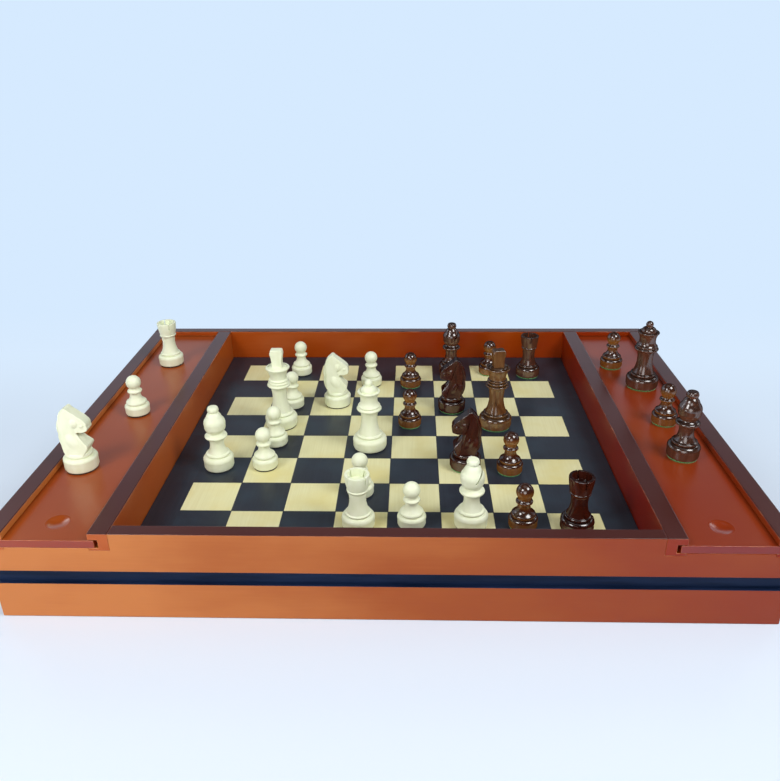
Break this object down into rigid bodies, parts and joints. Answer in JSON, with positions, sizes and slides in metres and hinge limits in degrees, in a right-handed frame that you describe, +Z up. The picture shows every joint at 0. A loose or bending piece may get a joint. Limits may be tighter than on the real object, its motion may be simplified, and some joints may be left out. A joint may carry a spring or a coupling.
{
  "type": "chess and draughts box",
  "caption": "Wooden chess and draughts case with a sunk inlaid board, turned chessmen and two side compartments under sliding lids.",
  "frame": {"origin": "under the middle of the case, on the surface it stands on", "axes": "+X to the right of the player, +Y away from the player towards the back wall, +Z up; the lids slide out along -Y"},
  "size_m": [0.539, 0.387, 0.13],
  "materials": {
    "mahogany_lacquered_wood": "semi-gloss orange-brown lacquer over stained wood, darker on the rim",
    "black_lacquered_wood": "gloss black lacquer",
    "charcoal_veneer": "satin charcoal stained veneer",
    "pale_veneer": "satin pale yellow veneer with fine grain",
    "cream_lacquered_wood": "satin cream lacquer",
    "dark_varnished_wood": "gloss brown varnish with grain",
    "plain_wood": "thin brown stain"
  },
  "bodies": {
    "case": {"lower_front_wall": "mahogany_lacquered_wood", "lower_back_wall": "mahogany_lacquered_wood", "lower_left_wall": "mahogany_lacquered_wood", "lower_right_wall": "mahogany_lacquered_wood", "front_reveal_strip": "black_lacquered_wood", "back_reveal_strip": "black_lacquered_wood", "left_reveal_strip": "black_lacquered_wood", "right_reveal_strip": "black_lacquered_wood", "upper_front_wall": "mahogany_lacquered_wood", "upper_back_wall": "mahogany_lacquered_wood", "upper_left_wall": "mahogany_lacquered_wood", "upper_right_wall": "mahogany_lacquered_wood", "left_divider": "mahogany_lacquered_wood", "right_divider": "mahogany_lacquered_wood", "bottom_panel": "plain_wood", "front_ledge": "plain_wood", "back_ledge": "plain_wood", "left_ledge": "plain_wood", "right_ledge": "plain_wood", "cream_draughts": "cream_lacquered_wood", "dark_draughts": "dark_varnished_wood", "dark_pawn_8": "dark_varnished_wood"},
    "playing_board": {"chess_board": "charcoal_veneer", "light_squares": "pale_veneer"},
    "left_lid": {"left_lid": "mahogany_lacquered_wood"},
    "right_lid": {"right_lid": "mahogany_lacquered_wood"},
    "cream_bishop_1": {"cream_bishop_1": "cream_lacquered_wood"},
    "cream_pawn_1": {"cream_pawn_1": "cream_lacquered_wood"},
    "cream_pawn_2": {"cream_pawn_2": "cream_lacquered_wood"},
    "cream_king": {"cream_king": "cream_lacquered_wood"},
    "cream_pawn_3": {"cream_pawn_3": "cream_lacquered_wood"},
    "cream_pawn_4": {"cream_pawn_4": "cream_lacquered_wood"},
    "cream_knight_1": {"cream_knight_1": "cream_lacquered_wood"},
    "cream_pawn_5": {"cream_pawn_5": "cream_lacquered_wood"},
    "cream_queen": {"cream_queen": "cream_lacquered_wood"},
    "cream_pawn_6": {"cream_pawn_6": "cream_lacquered_wood"},
    "cream_rook_1": {"cream_rook_1": "cream_lacquered_wood"},
    "cream_pawn_7": {"cream_pawn_7": "cream_lacquered_wood"},
    "cream_bishop_2": {"cream_bishop_2": "cream_lacquered_wood"},
    "dark_bishop_1": {"dark_bishop_1": "dark_varnished_wood"},
    "dark_pawn_1": {"dark_pawn_1": "dark_varnished_wood"},
    "dark_rook_1": {"dark_rook_1": "dark_varnished_wood"},
    "dark_pawn_2": {"dark_pawn_2": "dark_varnished_wood"},
    "dark_pawn_3": {"dark_pawn_3": "dark_varnished_wood"},
    "dark_knight_1": {"dark_knight_1": "dark_varnished_wood"},
    "dark_king": {"dark_king": "dark_varnished_wood"},
    "dark_knight_2": {"dark_knight_2": "dark_varnished_wood"},
    "dark_pawn_4": {"dark_pawn_4": "dark_varnished_wood"},
    "dark_pawn_5": {"dark_pawn_5": "dark_varnished_wood"},
    "dark_rook_2": {"dark_rook_2": "dark_varnished_wood"},
    "cream_rook_2": {"cream_rook_2": "cream_lacquered_wood"},
    "cream_pawn_8": {"cream_pawn_8": "cream_lacquered_wood"},
    "cream_knight_2": {"cream_knight_2": "cream_lacquered_wood"},
    "dark_pawn_6": {"dark_pawn_6": "dark_varnished_wood"},
    "dark_queen": {"dark_queen": "dark_varnished_wood"},
    "dark_pawn_7": {"dark_pawn_7": "dark_varnished_wood"},
    "dark_bishop_2": {"dark_bishop_2": "dark_varnished_wood"}
  },
  "joints": [
    {"name": "left_lid_slide", "type": "slide", "parent": "case", "child": "left_lid", "axis": [0, -1, 0], "range_m": [0, 0.385]},
    {"name": "right_lid_slide", "type": "slide", "parent": "case", "child": "right_lid", "axis": [0, -1, 0], "range_m": [0, 0.385]},
    {"name": "board_lift", "type": "slide", "parent": "case", "child": "playing_board", "axis": [0, 0, 1], "range_m": [0, 0.15]},
    {"name": "cream_bishop_1_lift", "type": "slide", "parent": "playing_board", "child": "cream_bishop_1", "axis": [0, 0, 1], "range_m": [0, 0.12]},
    {"name": "cream_pawn_1_lift", "type": "slide", "parent": "playing_board", "child": "cream_pawn_1", "axis": [0, 0, 1], "range_m": [0, 0.12]},
    {"name": "cream_pawn_2_lift", "type": "slide", "parent": "playing_board", "child": "cream_pawn_2", "axis": [0, 0, 1], "range_m": [0, 0.12]},
    {"name": "cream_king_lift", "type": "slide", "parent": "playing_board", "child": "cream_king", "axis": [0, 0, 1], "range_m": [0, 0.12]},
    {"name": "cream_pawn_3_lift", "type": "slide", "parent": "playing_board", "child": "cream_pawn_3", "axis": [0, 0, 1], "range_m": [0, 0.12]},
    {"name": "cream_pawn_4_lift", "type": "slide", "parent": "playing_board", "child": "cream_pawn_4", "axis": [0, 0, 1], "range_m": [0, 0.12]},
    {"name": "cream_knight_1_lift", "type": "slide", "parent": "playing_board", "child": "cream_knight_1", "axis": [0, 0, 1], "range_m": [0, 0.12]},
    {"name": "cream_pawn_5_lift", "type": "slide", "parent": "playing_board", "child": "cream_pawn_5", "axis": [0, 0, 1], "range_m": [0, 0.12]},
    {"name": "cream_queen_lift", "type": "slide", "parent": "playing_board", "child": "cream_queen", "axis": [0, 0, 1], "range_m": [0, 0.12]},
    {"name": "cream_pawn_6_lift", "type": "slide", "parent": "playing_board", "child": "cream_pawn_6", "axis": [0, 0, 1], "range_m": [0, 0.12]},
    {"name": "cream_rook_1_lift", "type": "slide", "parent": "playing_board", "child": "cream_rook_1", "axis": [0, 0, 1], "range_m": [0, 0.12]},
    {"name": "cream_pawn_7_lift", "type": "slide", "parent": "playing_board", "child": "cream_pawn_7", "axis": [0, 0, 1], "range_m": [0, 0.12]},
    {"name": "cream_bishop_2_lift", "type": "slide", "parent": "playing_board", "child": "cream_bishop_2", "axis": [0, 0, 1], "range_m": [0, 0.12]},
    {"name": "dark_bishop_1_lift", "type": "slide", "parent": "playing_board", "child": "dark_bishop_1", "axis": [0, 0, 1], "range_m": [0, 0.12]},
    {"name": "dark_pawn_1_lift", "type": "slide", "parent": "playing_board", "child": "dark_pawn_1", "axis": [0, 0, 1], "range_m": [0, 0.12]},
    {"name": "dark_rook_1_lift", "type": "slide", "parent": "playing_board", "child": "dark_rook_1", "axis": [0, 0, 1], "range_m": [0, 0.12]},
    {"name": "dark_pawn_2_lift", "type": "slide", "parent": "playing_board", "child": "dark_pawn_2", "axis": [0, 0, 1], "range_m": [0, 0.12]},
    {"name": "dark_pawn_3_lift", "type": "slide", "parent": "playing_board", "child": "dark_pawn_3", "axis": [0, 0, 1], "range_m": [0, 0.12]},
    {"name": "dark_knight_1_lift", "type": "slide", "parent": "playing_board", "child": "dark_knight_1", "axis": [0, 0, 1], "range_m": [0, 0.12]},
    {"name": "dark_king_lift", "type": "slide", "parent": "playing_board", "child": "dark_king", "axis": [0, 0, 1], "range_m": [0, 0.12]},
    {"name": "dark_knight_2_lift", "type": "slide", "parent": "playing_board", "child": "dark_knight_2", "axis": [0, 0, 1], "range_m": [0, 0.12]},
    {"name": "dark_pawn_4_lift", "type": "slide", "parent": "playing_board", "child": "dark_pawn_4", "axis": [0, 0, 1], "range_m": [0, 0.12]},
    {"name": "dark_pawn_5_lift", "type": "slide", "parent": "playing_board", "child": "dark_pawn_5", "axis": [0, 0, 1], "range_m": [0, 0.12]},
    {"name": "dark_rook_2_lift", "type": "slide", "parent": "playing_board", "child": "dark_rook_2", "axis": [0, 0, 1], "range_m": [0, 0.12]},
    {"name": "cream_rook_2_lift", "type": "slide", "parent": "left_lid", "child": "cream_rook_2", "axis": [0, 0, 1], "range_m": [0, 0.12]},
    {"name": "cream_pawn_8_lift", "type": "slide", "parent": "left_lid", "child": "cream_pawn_8", "axis": [0, 0, 1], "range_m": [0, 0.12]},
    {"name": "cream_knight_2_lift", "type": "slide", "parent": "left_lid", "child": "cream_knight_2", "axis": [0, 0, 1], "range_m": [0, 0.12]},
    {"name": "dark_pawn_6_lift", "type": "slide", "parent": "right_lid", "child": "dark_pawn_6", "axis": [0, 0, 1], "range_m": [0, 0.12]},
    {"name": "dark_queen_lift", "type": "slide", "parent": "right_lid", "child": "dark_queen", "axis": [0, 0, 1], "range_m": [0, 0.12]},
    {"name": "dark_pawn_7_lift", "type": "slide", "parent": "right_lid", "child": "dark_pawn_7", "axis": [0, 0, 1], "range_m": [0, 0.12]},
    {"name": "dark_bishop_2_lift", "type": "slide", "parent": "right_lid", "child": "dark_bishop_2", "axis": [0, 0, 1], "range_m": [0, 0.12]}
  ]
}
